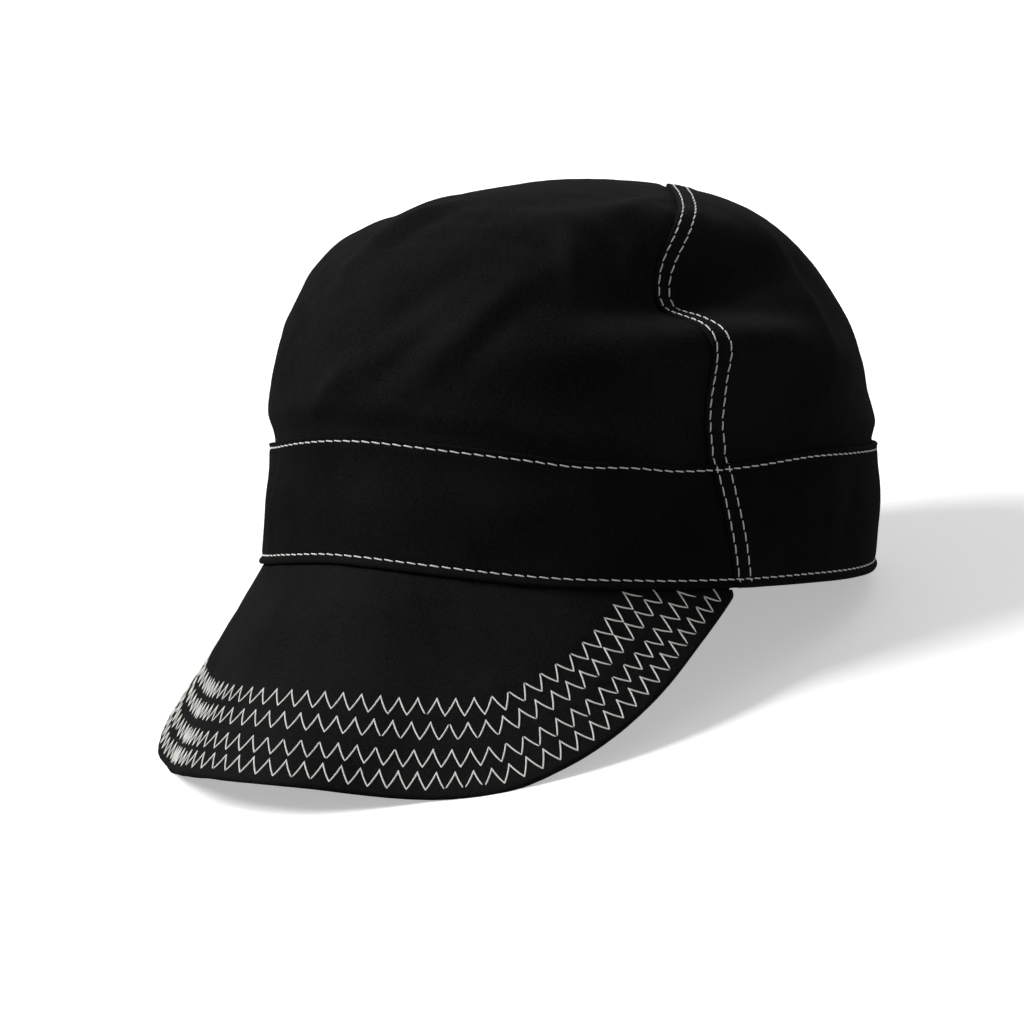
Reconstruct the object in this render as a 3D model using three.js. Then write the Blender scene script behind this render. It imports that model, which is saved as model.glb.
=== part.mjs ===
// A welder's cap of black cloth: a full, soft crown of three panels on a deep band, with a short
// drooping peak in front. It rests on a table on the peak's two lower corners and the back of the band.
// Millimetres, +Z up. The cap is drawn with its rim level, its front towards -Y and the wearer's left
// side towards +X, and the outer group then tips it back until it lies as it would by itself.
import * as THREE from "three";

// Driving sizes
const rimHalfWidth = 85; // outside of the band, from the middle to one side
const rimHalfLength = 104; // outside of the band, from the middle to the front
const bandHeight = 37.5;
const bandWall = 1.6; // folded double
const bandRise = 9.5; // how much the band climbs over the forehead
const bandDraw = 2.4; // how far the peak draws the band's lower edge forward
const crownRise = 82.5; // from the band's top edge to the top of the crown
const crownWall = 1.3;
const crownSetBack = 0.5; // the crown stands back from the band's top edge
const crownTuck = 6; // the crown's margin behind the band
const peakReach = 76.5; // down the slope, at the middle
const peakWall = 2.6; // two layers and their stiffening
const peakDrop = 1.2; // where the peak's slope starts, below the band's edge
const sewnGap = 0.3; // clearance between two sewn pieces
const pressDepth = 0.7; // how far the cloth is flattened where the cap rests

// Forms
const crownFullness = 2.5; // 2 is an ellipsoid, more is boxier
const crownMiddle = 0.42; // where the panels meet, behind the middle, as a share of the half length
const bandBelly = 0.006; // the band's swell at mid height, as a share of its size
const bandNip = 0.01; // and its narrowing at the top edge
const foldReach = 0.6; // how deep a fold acts, as a share of the crown's rise
const crownStart = 0.035; // the height where the crown has come out from behind the band
const meetingGap = 1.2; // how far from the middle the rear panels stop
const nearMeeting = 0.98; // above this height the crown's lining follows its smooth form

// How finely the cloth is divided
const frontColumns = 36;
const rearColumns = 20;
const crownRows = 24;
const tuckRows = 2;
const bandRows = 4;
const peakColumns = 44;
const peakRows = 8;
const peakEdgeTurns = [54, 18, -18, -54]; // degrees round the peak's edge
const measuringSteps = 400; // along the crown's wall, to space its rows evenly
const slopeStep = 0.005; // between the two places that a slope is taken from
const restingTries = 40;

const degree = Math.PI / 180;
const { abs, cos, hypot, max, min, sin } = Math;

// The side seam's angle round the cap, from the front, by height: below 0 on the band, 1 at the top
const seamRoute = [
  { height: -1.0, angle: 83 },
  { height: -0.5, angle: 80 },
  { height: 0.0, angle: 77 },
  { height: 0.15, angle: 75.9 },
  { height: 0.27, angle: 72.8 },
  { height: 0.36, angle: 70.8 },
  { height: 0.46, angle: 67.8 },
  { height: 0.57, angle: 70.4 },
  { height: 0.7, angle: 72.8 },
  { height: 0.85, angle: 72 },
  { height: 1.0, angle: 71 },
];
const hiddenSeamCalm = 0.35; // the other side's seam wanders less

// How the soft band sways up and down, by angle from the front, at its top and bottom edges. Both are
// shares of its height.
const bandSway = [
  { angle: -180, top: 0, bottom: 0 },
  { angle: -130, top: 0, bottom: 0 },
  { angle: -90, top: -0.032, bottom: -0.024 },
  { angle: -60, top: -0.069, bottom: -0.053 },
  { angle: -40, top: -0.083, bottom: -0.067 },
  { angle: -25, top: -0.069, bottom: -0.056 },
  { angle: -12, top: -0.021, bottom: -0.024 },
  { angle: 0, top: 0.021, bottom: 0.009 },
  { angle: 10, top: 0.035, bottom: 0.013 },
  { angle: 25, top: 0.019, bottom: -0.003 },
  { angle: 40, top: -0.005, bottom: -0.021 },
  { angle: 50, top: -0.032, bottom: -0.021 },
  { angle: 60, top: -0.016, bottom: -0.011 },
  { angle: 68, top: -0.032, bottom: -0.005 },
  { angle: 80, top: -0.003, bottom: 0.003 },
  { angle: 98, top: 0.068, bottom: 0.005 },
  { angle: 115, top: 0.056, bottom: -0.013 },
  { angle: 130, top: 0.03, bottom: -0.021 },
  { angle: 155, top: 0, bottom: 0 },
  { angle: 180, top: 0, bottom: 0 },
];

// The peak by share of its half width: droop below level and the fan of its slope in degrees per
// degree round the rim, and its length as a share of its reach
const peakEnd = 80.3; // degrees from the front, where the peak's ends meet the band
const peakForm = [
  { share: 0.0, droop: 52.9, fan: 0.874, length: 0.949 },
  { share: 0.1, droop: 53.9, fan: 0.87, length: 0.938 },
  { share: 0.2, droop: 57.4, fan: 0.862, length: 0.909 },
  { share: 0.35, droop: 61.8, fan: 0.859, length: 0.876 },
  { share: 0.5, droop: 59.4, fan: 0.857, length: 0.838 },
  { share: 0.6, droop: 57.0, fan: 0.85, length: 0.749 },
  { share: 0.7, droop: 54.4, fan: 0.829, length: 0.618 },
  { share: 0.8, droop: 52.1, fan: 0.801, length: 0.438 },
  { share: 0.9, droop: 49.9, fan: 0.767, length: 0.223 },
  { share: 1.0, droop: 47.7, fan: 0.732, length: 0.02 },
];

// Dents and folds of the crown: where the middle lies, by angle from the front and height, which way
// the fold runs from level, its half length and half width, and how far it stands out (in, below 0).
// All three sizes are shares of the crown's rise.
const crownFolds = [
  { name: "side hollow", angle: 75, height: 0.4, turn: 8, length: 0.46, width: 0.15, out: -0.17 },
  { name: "roll below it", angle: 76, height: 0.22, turn: -4, length: 0.62, width: 0.11, out: 0.1 },
  { name: "hollow on the band", angle: 62, height: 0.07, turn: -12, length: 0.46, width: 0.12, out: -0.05 },
  { name: "shoulder ridge", angle: 51, height: 0.58, turn: 6, length: 0.45, width: 0.1, out: 0.03 },
  { name: "hollow edge", angle: 45, height: 0.42, turn: 88, length: 0.17, width: 0.05, out: 0.02 },
  { name: "hollow front", angle: 54, height: 0.42, turn: 80, length: 0.15, width: 0.07, out: -0.03 },
  { name: "front side swell", angle: -44, height: 0.4, turn: 0, length: 0.35, width: 0.12, out: 0.014 },
  { name: "shoulder crest", angle: 56, height: 0.65, turn: 30, length: 0.22, width: 0.045, out: 0.014 },
  { name: "rear side fall", angle: 140, height: 0.3, turn: 0, length: 0.5, width: 0.34, out: -0.045 },
  { name: "front side fall", angle: -46, height: 0.16, turn: 0, length: 0.7, width: 0.24, out: -0.008 },
  { name: "front side dip", angle: -40, height: 0.6, turn: 0, length: 0.4, width: 0.14, out: -0.028 },
  { name: "rear side ridge", angle: 103, height: 0.38, turn: 80, length: 0.3, width: 0.07, out: 0.025 },
  { name: "rear side hollow", angle: 93, height: 0.1, turn: 0, length: 0.2, width: 0.12, out: -0.035 },
  { name: "front fold low", angle: 5, height: 0.09, turn: 38, length: 0.28, width: 0.055, out: 0.022 },
  { name: "front fold middle", angle: 28, height: 0.19, turn: 45, length: 0.28, width: 0.055, out: 0.024 },
  { name: "front fold high", angle: -3, height: 0.42, turn: 75, length: 0.26, width: 0.055, out: 0.022 },
  { name: "front dip", angle: 16, height: 0.22, turn: 48, length: 0.3, width: 0.06, out: -0.02 },
  { name: "far hollow", angle: -84, height: 0.38, turn: 6, length: 0.4, width: 0.16, out: -0.08 },
  { name: "far roll", angle: -80, height: 0.2, turn: -6, length: 0.5, width: 0.11, out: 0.035 },
  { name: "far rear fall", angle: -142, height: 0.42, turn: 0, length: 0.5, width: 0.35, out: -0.05 },
  { name: "top front fall", angle: -14, height: 0.74, turn: 0, length: 0.35, width: 0.2, out: -0.024 },
  { name: "rear shoulder fall", angle: 132, height: 0.58, turn: 0, length: 0.3, width: 0.25, out: -0.025 },
  { name: "rear low fall", angle: 130, height: 0.11, turn: 0, length: 0.3, width: 0.08, out: -0.02 },
  { name: "back fold", angle: 172, height: 0.22, turn: 60, length: 0.35, width: 0.09, out: 0.025 },
];

// A column of a table at any place between its rows, on a smooth curve through them
function readTable(rows, key, column, at) {
  const last = rows.length - 1;
  const place = min(max(at, rows[0][key]), rows[last][key]);
  let i = 0;
  while (i < last - 1 && place > rows[i + 1][key]) i += 1;
  const slope = (k) => {
    const a = rows[max(k - 1, 0)];
    const b = rows[min(k + 1, last)];
    return (b[column] - a[column]) / (b[key] - a[key]);
  };
  const span = rows[i + 1][key] - rows[i][key];
  const t = (place - rows[i][key]) / span;
  const flow = (1 - t) * slope(i) * span * t * (1 - t) - t * slope(i + 1) * span * t * (1 - t);
  return rows[i][column] * (1 + 2 * t) * (1 - t) ** 2 + rows[i + 1][column] * t * t * (3 - 2 * t) + flow;
}

const ease = (share) => {
  const t = min(max(share, 0), 1);
  return t * t * (3 - 2 * t);
};

// Angles are from the front, towards the wearer's left
const forehead = (angle) => bandRise * ((1 + cos(angle)) / 2) ** 3;
function rimRise(angle, share) {
  const [top, bottom] = ["top", "bottom"].map((edge) => readTable(bandSway, "angle", edge, angle / degree));
  return forehead(angle) + bandHeight * (top * share + bottom * (1 - share));
}
const seamAngle = (height) => readTable(seamRoute, "height", "angle", height) * degree;
const farSeamAngle = (height) => {
  const top = seamAngle(0);
  return -(top + (seamAngle(height) - top) * (height > 0 ? hiddenSeamCalm : 1));
};

// The band's outside by share of its height, and any depth below that skin
function bandPoint(angle, share, depth) {
  const narrowing = (bandBelly + bandNip) * ease(2 * share - 1) + bandBelly * ease(1 - 2 * share);
  const swell = 1 + bandBelly - narrowing;
  const forward = bandDraw * (1 - share) ** 2;
  return new THREE.Vector3(
    (rimHalfWidth * swell - depth) * sin(angle),
    -(rimHalfLength * swell - depth) * cos(angle) - forward,
    bandHeight * share + rimRise(angle, share),
  );
}

// How far the crown's walls stand from where the panels meet, as a share, by height
const spreadAt = (height) => max(cos((height * Math.PI) / 2), 0) ** (2 / crownFullness);

// The crown without its folds. Height 0 is the band's top edge and 1 is where the panels meet.
function smoothCrown(angle, height) {
  const hidden = bandWall + sewnGap;
  const clear = ease(height / crownStart);
  const inset = hidden + (crownSetBack - hidden) * clear;
  const halfWidth = rimHalfWidth * (1 - bandNip * (1 - clear)) - inset;
  const halfLength = rimHalfLength * (1 - bandNip * (1 - clear)) - inset;
  const middle = crownMiddle * rimHalfLength;
  const spread = spreadAt(height);
  const x = halfWidth * sin(angle) * spread;
  const y = middle + (-halfLength * cos(angle) - middle) * spread;
  const ring = hypot(x / halfWidth, y / halfLength);
  const lift = max(1 - ring ** crownFullness, 0) ** (1 / crownFullness);
  const z = bandHeight + rimRise(angle, 1) * spread ** 3 + crownRise * lift;
  const outward = new THREE.Vector3(
    (ring ** (crownFullness - 2) * x) / halfWidth ** 2,
    (ring ** (crownFullness - 2) * y) / halfLength ** 2,
    lift ** (crownFullness - 1) / crownRise,
  );
  return { place: new THREE.Vector3(x, y, z), outward: outward.normalize() };
}

// Each fold's own axes, worked out once
const folds = crownFolds.map((fold) => {
  const { place, outward } = smoothCrown(fold.angle * degree, fold.height);
  const level = new THREE.Vector3(0, 0, 1).cross(outward).normalize();
  const upward = outward.clone().cross(level);
  const turn = fold.turn * degree;
  const along = level.clone().multiplyScalar(cos(turn)).addScaledVector(upward, sin(turn));
  const across = upward.clone().multiplyScalar(cos(turn)).addScaledVector(level, -sin(turn));
  return { ...fold, place, outward, along, across };
});

// The crown's outside with its folds. Below height 0 it is the margin behind the band.
function crownPoint(angle, height) {
  if (height < 0) return bandPoint(angle, 1 + height, bandWall + sewnGap);
  const { place, outward } = smoothCrown(angle, height);
  let out = 0;
  for (const fold of folds) {
    const from = place.clone().sub(fold.place);
    const a = from.dot(fold.along) / (fold.length * crownRise);
    const b = from.dot(fold.across) / (fold.width * crownRise);
    const c = from.dot(fold.outward) / (foldReach * crownRise);
    out += fold.out * crownRise * Math.exp(-a * a - b * b - c * c);
  }
  return place.addScaledVector(outward, out * ease(height / crownStart));
}

// The outward direction of a surface of an angle and a height
function facing(surface, u, v) {
  const across = surface(u + slopeStep, v).sub(surface(u - slopeStep, v));
  const up = surface(u, v + slopeStep).sub(surface(u, v - slopeStep));
  return across.cross(up).normalize();
}

// The crown's inside, one wall below its outside
function crownLining(angle, height) {
  if (height <= 0) return bandPoint(angle, 1 + height, bandWall + sewnGap + crownWall);
  const smooth = height > nearMeeting || height < slopeStep;
  const normal = smooth ? smoothCrown(angle, height).outward : facing(crownPoint, angle, height);
  return crownPoint(angle, height).addScaledVector(normal, -crownWall);
}

// The peak's upper face, by share of its half width and of the way down its slope
function peakPoint(share, along) {
  const u = abs(share);
  const angle = share * peakEnd * degree;
  const droop = readTable(peakForm, "share", "droop", u) * degree;
  const heading = readTable(peakForm, "share", "fan", u) * angle;
  const length = readTable(peakForm, "share", "length", u) * peakReach - peakWall / 2;
  const root = -(peakDrop - sewnGap) / sin(droop);
  const down = root + (length - root) * along;
  const place = bandPoint(angle, 0, 0);
  place.x += sin(heading) * cos(droop) * down;
  place.y -= cos(heading) * cos(droop) * down;
  place.z -= peakDrop + sin(droop) * down;
  return place;
}

// A section of the peak: its upper face to the root, back along the underside, and the round edge
function peakSection(share) {
  const upper = [];
  const under = [];
  for (let j = 0; j <= peakRows; j += 1) {
    const along = j / peakRows;
    const place = peakPoint(share, along);
    const normal = facing(peakPoint, share * (1 - slopeStep), along).negate();
    upper.push(place);
    under.push(place.clone().addScaledVector(normal, -peakWall));
  }
  const tip = upper[peakRows].clone().lerp(under[peakRows], 0.5);
  const rise = upper[peakRows].clone().sub(tip);
  const out = upper[peakRows].clone().sub(upper[peakRows - 1]).setLength(peakWall / 2);
  const edge = peakEdgeTurns.map((turn) =>
    tip.clone().addScaledVector(rise, sin(turn * degree)).addScaledVector(out, cos(turn * degree)),
  );
  const half = edge.length / 2;
  return [...edge.slice(0, half).reverse(), ...upper.reverse(), ...under, ...edge.slice(half)];
}

// One closed mesh through a row of sections, each a ring of points round a wall
function closedMesh(sections) {
  const points = [];
  const faces = [];
  const known = new Map();
  const numbered = (place) => {
    const key = place.toArray().map((value) => value.toFixed(3)).join(" ");
    if (!known.has(key)) known.set(key, points.push(place) - 1);
    return known.get(key);
  };
  const addFace = (a, b, c) => {
    if (a !== b && b !== c && c !== a) faces.push(a, b, c);
  };
  const rings = sections.map((section) => section.map(numbered));
  const count = rings[0].length;
  for (let i = 0; i + 1 < rings.length; i += 1) {
    for (let j = 0; j < count; j += 1) {
      const next = (j + 1) % count;
      addFace(rings[i][j], rings[i + 1][j], rings[i + 1][next]);
      addFace(rings[i][j], rings[i + 1][next], rings[i][next]);
    }
  }
  const [first, last] = [rings[0], rings[rings.length - 1]];
  for (let j = 0; j + 1 < count / 2; j += 1) {
    const across = count - 1 - j;
    addFace(first[j], first[j + 1], first[across - 1]);
    addFace(first[j], first[across - 1], first[across]);
    addFace(last[j], last[across - 1], last[j + 1]);
    addFace(last[j], last[across], last[across - 1]);
  }
  return { points, faces };
}

// A panel between two edges, each an angle for every height, divided into columns and heights
function panel(columns, heights, from, to, outside, inside) {
  const sections = [];
  for (let i = 0; i <= columns; i += 1) {
    const angles = heights.map((height) => from(height) + ((to(height) - from(height)) * i) / columns);
    const outer = heights.map((height, j) => outside(angles[j], height));
    const inner = heights.map((height, j) => inside(angles[j], height));
    sections.push([...outer, ...inner.reverse()]);
  }
  return closedMesh(sections);
}

// Rows of heights from one to another
const ladder = (low, high, steps) =>
  Array.from({ length: steps + 1 }, (_, i) => low + ((high - low) * i) / steps);

// Crown heights at equal steps along its wall, measured up the front
function evenHeights(steps) {
  const heights = ladder(0, 1, measuringSteps);
  const out = (height) => rimHalfLength * spreadAt(height);
  const up = (height) => crownRise * sin((height * Math.PI) / 2) ** (2 / crownFullness);
  const runs = [0];
  for (let i = 1; i <= measuringSteps; i += 1) {
    const [low, high] = [heights[i - 1], heights[i]];
    runs.push(runs[i - 1] + hypot(out(high) - out(low), up(high) - up(low)));
  }
  const rows = heights.map((height, i) => ({ run: runs[i], height }));
  return ladder(0, runs[measuringSteps], steps).map((run) => readTable(rows, "run", "height", run));
}

// A seam's gap as an angle: the panels draw together towards the top
function gapAngle(height) {
  const spread = height > 0 ? spreadAt(height) : 1;
  return sewnGap / (rimHalfWidth * (1 - crownMiddle * (1 - spread)) * spread);
}

const frontEdges = [(height) => farSeamAngle(height), (height) => seamAngle(height)];
const leftEdges = [
  (height) => seamAngle(height) + gapAngle(height),
  (height) => Math.PI - gapAngle(height) / 2,
];
const rightEdges = [
  (height) => gapAngle(height) / 2 - Math.PI,
  (height) => farSeamAngle(height) - gapAngle(height),
];

const tuck = ladder(-crownTuck / bandHeight, 0, tuckRows).slice(0, -1);
const frontHeights = [...tuck, ...evenHeights(crownRows)];
// The rear panels stop just short of the middle, where all three meet
const shortOfMiddle = 1 - Math.asin((meetingGap / rimHalfLength) ** (crownFullness / 2)) / (Math.PI / 2);
const rearHeights = [...frontHeights.slice(0, -1), shortOfMiddle];
const bandHeights = ladder(-1, 0, bandRows);
const bandSkin = (angle, height) => bandPoint(angle, 1 + height, 0);
const bandBack = (angle, height) => bandPoint(angle, 1 + height, bandWall);

const peakSections = ladder(-1, 1, peakColumns).map(peakSection);
const pieces = {
  crown_front: panel(frontColumns, frontHeights, ...frontEdges, crownPoint, crownLining),
  crown_rear_left: panel(rearColumns, rearHeights, ...leftEdges, crownPoint, crownLining),
  crown_rear_right: panel(rearColumns, rearHeights, ...rightEdges, crownPoint, crownLining),
  band_front: panel(frontColumns, bandHeights, ...frontEdges, bandSkin, bandBack),
  band_rear_left: panel(rearColumns, bandHeights, ...leftEdges, bandSkin, bandBack),
  band_rear_right: panel(rearColumns, bandHeights, ...rightEdges, bandSkin, bandBack),
  peak: closedMesh(peakSections),
};

// The cap lies on the plane through its three lowest places: the peak's two corners and the back
const allPoints = Object.values(pieces).flatMap((piece) => piece.points);
const up = new THREE.Vector3(0, 0, 1); // straight away from the table
const lowest = (places) => places.reduce((a, b) => (up.dot(a) < up.dot(b) ? a : b));
for (let turn = 0; turn < restingTries; turn += 1) {
  const back = lowest(allPoints.filter((place) => place.y > 0));
  const left = lowest(allPoints.filter((place) => place.y < 0 && place.x > 0));
  const right = lowest(allPoints.filter((place) => place.y < 0 && place.x < 0));
  up.crossVectors(right.clone().sub(back), left.clone().sub(back)).normalize();
}
const table = up.dot(lowest(allPoints)) + pressDepth;
for (const place of allPoints) place.addScaledVector(up, max(table - up.dot(place), 0));

const blackCloth = { color: 0x17181a, roughness: 0.92, metalness: 0, flatShading: true };
const crownCloth = new THREE.MeshStandardMaterial({ ...blackCloth, name: "crown_twill" });
const bandCloth = new THREE.MeshStandardMaterial({ ...blackCloth, name: "band_twill" });
const peakCloth = new THREE.MeshStandardMaterial({ ...blackCloth, name: "peak_twill" });
const clothOf = (name) => {
  if (name.startsWith("crown")) return crownCloth;
  return name.startsWith("band") ? bandCloth : peakCloth;
};

const cap = new THREE.Group();
for (const [name, { points, faces }] of Object.entries(pieces)) {
  const geometry = new THREE.BufferGeometry().setFromPoints(points);
  geometry.setIndex(faces);
  geometry.computeVertexNormals();
  const mesh = new THREE.Mesh(geometry, clothOf(name));
  mesh.name = name;
  cap.add(mesh);
}
cap.rotation.set(Math.atan2(up.y, hypot(up.x, up.z)), Math.atan2(-up.x, up.z), 0);
cap.updateMatrixWorld(true);
const box = new THREE.Box3().setFromObject(cap, true);
cap.position.set(-(box.min.x + box.max.x) / 2, -(box.min.y + box.max.y) / 2, -table);

const part = new THREE.Group();
part.add(cap);

export default part;
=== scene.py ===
"""The looks of a welder's cap: sewn panels of black twill, a stitched band and a stiffened peak.

The cap is drawn with its rim level, its front towards -Y and the wearer's left side towards +X, in the
sizes of its solids. Every finished piece is then tipped back into place, to lie on the table as they do.
"""

import math
from collections import namedtuple

import bpy
import numpy as np
from bpy.props import FloatProperty, FloatVectorProperty, IntProperty, PointerProperty
from mathutils import Matrix, Vector


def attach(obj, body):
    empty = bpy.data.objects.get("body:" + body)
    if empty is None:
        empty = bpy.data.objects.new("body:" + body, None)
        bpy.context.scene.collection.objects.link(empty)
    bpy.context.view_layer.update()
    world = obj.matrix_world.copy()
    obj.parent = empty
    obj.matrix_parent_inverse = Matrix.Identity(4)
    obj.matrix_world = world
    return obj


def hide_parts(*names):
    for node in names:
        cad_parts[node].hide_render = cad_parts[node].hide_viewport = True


bl_info = {
    "name": "Welding cap",
    "version": (1, 0, 0),
    "blender": (4, 5, 0),
    "location": "View3D > Sidebar > Cap",
    "description": "Cloth panels, peak and stitching of a soft welding cap",
    "category": "Object",
}

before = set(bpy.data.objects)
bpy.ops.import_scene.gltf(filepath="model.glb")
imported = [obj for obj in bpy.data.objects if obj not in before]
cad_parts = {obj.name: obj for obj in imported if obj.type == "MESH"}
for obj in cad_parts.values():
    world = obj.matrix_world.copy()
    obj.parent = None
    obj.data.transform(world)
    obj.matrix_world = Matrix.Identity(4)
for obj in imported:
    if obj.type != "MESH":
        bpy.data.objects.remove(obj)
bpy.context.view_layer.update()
MM = 0.001


def linear(hex_colour):
    """An sRGB hex colour as linear red, green and blue"""
    parts = [int(hex_colour[i : i + 2], 16) / 255 for i in (1, 3, 5)]
    return tuple(p / 12.92 if p <= 0.04045 else ((p + 0.055) / 1.055) ** 2.4 for p in parts)


def length_property(name, millimetres, description):
    return FloatProperty(
        name=name,
        description=description,
        default=millimetres * MM,
        min=0,
        precision=5,
        subtype="DISTANCE",
        unit="LENGTH",
    )


class CapSizes(bpy.types.PropertyGroup):
    """The cap's sizes, as its solids have them"""

    half_width: length_property("Half width", 85, "Outside of the band, from the middle to one side")
    half_length: length_property("Half length", 104, "Outside of the band, from the middle to the front")
    band_height: length_property("Band height", 37.5, "From the band's lower edge to its top edge")
    band_wall: length_property("Band wall", 1.6, "Thickness of the band, folded double")
    band_rise: length_property("Band rise", 9.5, "How much the band climbs over the forehead")
    band_draw: length_property("Band draw", 2.4, "How far the peak draws the band's lower edge forward")
    crown_rise: length_property("Crown rise", 82.5, "From the band's top edge to the top of the crown")
    crown_wall: length_property("Crown wall", 1.3, "Thickness of the crown's cloth and lining")
    crown_set_back: length_property("Crown set back", 0.5, "How far the crown stands in from the band")
    crown_tuck: length_property("Crown tuck", 5, "The crown's margin behind the band")
    peak_reach: length_property("Peak reach", 76.5, "From the band down the peak's slope, at the middle")
    peak_wall: length_property("Peak wall", 2.6, "Two layers of cloth and their stiffening")
    peak_drop: length_property("Peak drop", 1.2, "Where the peak's slope starts, below the band's edge")
    sewn_gap: length_property("Sewn gap", 0.3, "Clearance between two sewn pieces")
    rest_aside: FloatProperty(
        name="Rest aside",
        description="How far the tipped cap moves to the left over its footprint",
        default=0.362 * MM,
        precision=5,
        subtype="DISTANCE",
        unit="LENGTH",
    )
    rest_back: length_property("Rest back", 21.823, "How far the tipped cap moves back over its footprint")
    rest_up: length_property("Rest up", 24.013, "How far the tipped cap lifts to stand on the table")
    tip: FloatProperty(
        name="Tip",
        description="How far the cap tips back until it lies by itself",
        default=math.radians(14.0767),
        subtype="ANGLE",
    )
    lean: FloatProperty(
        name="Lean",
        description="How far the cap leans to one side until both corners of its peak touch the table",
        default=math.radians(0.7364),
        subtype="ANGLE",
    )


class CapSewing(bpy.types.PropertyGroup):
    """The seams and the stitches"""

    thread: length_property("Thread", 0.48, "Thickness of the sewing thread")
    zigzag_thread: length_property("Zigzag thread", 0.5, "Thickness of the peak's thicker thread")
    stitch: length_property("Stitch", 3.25, "Length of a straight stitch")
    stitch_gap: length_property("Stitch gap", 0.35, "Cloth between two straight stitches")
    lower_line: length_property("Lower line", 2.8, "The band's lower stitched line, above its edge")
    upper_line: length_property("Upper line", 1.7, "The band's upper stitched line, below its edge")
    row_spacing: length_property("Row spacing", 4.5, "Between a seam's two stitched rows")
    lap: length_property("Lap", 3.7, "How far a seam's folded edge reaches over its line")
    lap_lift: length_property("Lap lift", 0.55, "How far the lapped cloth stands out")
    lap_sink: length_property("Lap sink", 0.8, "How far the cloth under a lap dips")
    zigzag_pitch: length_property("Zigzag pitch", 5.6, "Between two points of a zigzag row")
    zigzag_width: length_property("Zigzag width", 5.4, "Across a zigzag row")
    zigzag_bow: length_property("Zigzag bow", 0.22, "How far a zigzag's leg bows")
    sides: IntProperty(name="Thread sides", description="Faces round a thread", default=7, min=5)


class CapColours(bpy.types.PropertyGroup):
    """The colours of the cloth, the thread and the studio"""

    cloth: FloatVectorProperty(
        name="Cloth", description="Black cotton twill", default=linear("#181818"), subtype="COLOR"
    )
    thread: FloatVectorProperty(
        name="Thread", description="Off-white thread", default=linear("#faf8f3"), subtype="COLOR"
    )
    table: FloatVectorProperty(
        name="Table", description="White acrylic table", default=linear("#f4f4f4"), subtype="COLOR"
    )


def sizes():
    return bpy.context.scene.cap_sizes


def sewing():
    return bpy.context.scene.cap_sewing


def colours():
    return bpy.context.scene.cap_colours


# Forms of the crown and the band
CROWN_FULLNESS = 2.5  # 2 is an ellipsoid, more is boxier
CROWN_MIDDLE = 0.42  # where the panels meet, behind the middle, as a share of the half length
CROWN_START = 0.035  # the height where the crown has come out from behind the band
BAND_BELLY = 0.006  # the band's swell at mid height, as a share of its size
BAND_NIP = 0.01  # and its narrowing at the top edge
FOLD_REACH = 0.6  # how deep a fold acts, as a share of the crown's rise
SLACK_PARTS = 5  # the band's slack fades out over one fifth of its height at either edge
SMALL = 1e-6  # keeps a division from meeting zero
NO_LENGTH = 1e-12

# The side seam's angle round the cap, from the front, by height: below 0 on the band, 1 at the top
SeamStep = namedtuple("SeamStep", "height angle")
SEAM_ROUTE = [
    SeamStep(-1.0, 83),
    SeamStep(-0.5, 80),
    SeamStep(0.0, 77),
    SeamStep(0.15, 75.9),
    SeamStep(0.27, 72.8),
    SeamStep(0.36, 70.8),
    SeamStep(0.46, 67.8),
    SeamStep(0.57, 70.4),
    SeamStep(0.7, 72.8),
    SeamStep(0.85, 72),
    SeamStep(1.0, 71),
]
HIDDEN_SEAM_CALM = 0.35  # the other side's seam wanders less

# How the soft band sways up and down, by degrees from the front, at its top and bottom edges. Both are
# shares of its height.
Sway = namedtuple("Sway", "angle top bottom")
BAND_SWAY = [
    Sway(-180, 0, 0),
    Sway(-130, 0, 0),
    Sway(-90, -0.032, -0.024),
    Sway(-60, -0.069, -0.053),
    Sway(-40, -0.083, -0.067),
    Sway(-25, -0.069, -0.056),
    Sway(-12, -0.021, -0.024),
    Sway(0, 0.021, 0.009),
    Sway(10, 0.035, 0.013),
    Sway(25, 0.019, -0.003),
    Sway(40, -0.005, -0.021),
    Sway(50, -0.032, -0.021),
    Sway(60, -0.016, -0.011),
    Sway(68, -0.032, -0.005),
    Sway(80, -0.003, 0.003),
    Sway(98, 0.068, 0.005),
    Sway(115, 0.056, -0.013),
    Sway(130, 0.03, -0.021),
    Sway(155, 0, 0),
    Sway(180, 0, 0),
]

# The peak by share of its half width: droop below level and the fan of its slope in degrees per
# degree round the rim, and its length as a share of its reach
PEAK_END = math.radians(80.3)  # from the front, where the peak's ends meet the band
PeakStep = namedtuple("PeakStep", "share droop fan length")
PEAK_FORM = [
    PeakStep(0.0, 52.9, 0.874, 0.949),
    PeakStep(0.1, 53.9, 0.87, 0.938),
    PeakStep(0.2, 57.4, 0.862, 0.909),
    PeakStep(0.35, 61.8, 0.859, 0.876),
    PeakStep(0.5, 59.4, 0.857, 0.838),
    PeakStep(0.6, 57.0, 0.85, 0.749),
    PeakStep(0.7, 54.4, 0.829, 0.618),
    PeakStep(0.8, 52.1, 0.801, 0.438),
    PeakStep(0.9, 49.9, 0.767, 0.223),
    PeakStep(1.0, 47.7, 0.732, 0.02),
]

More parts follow.
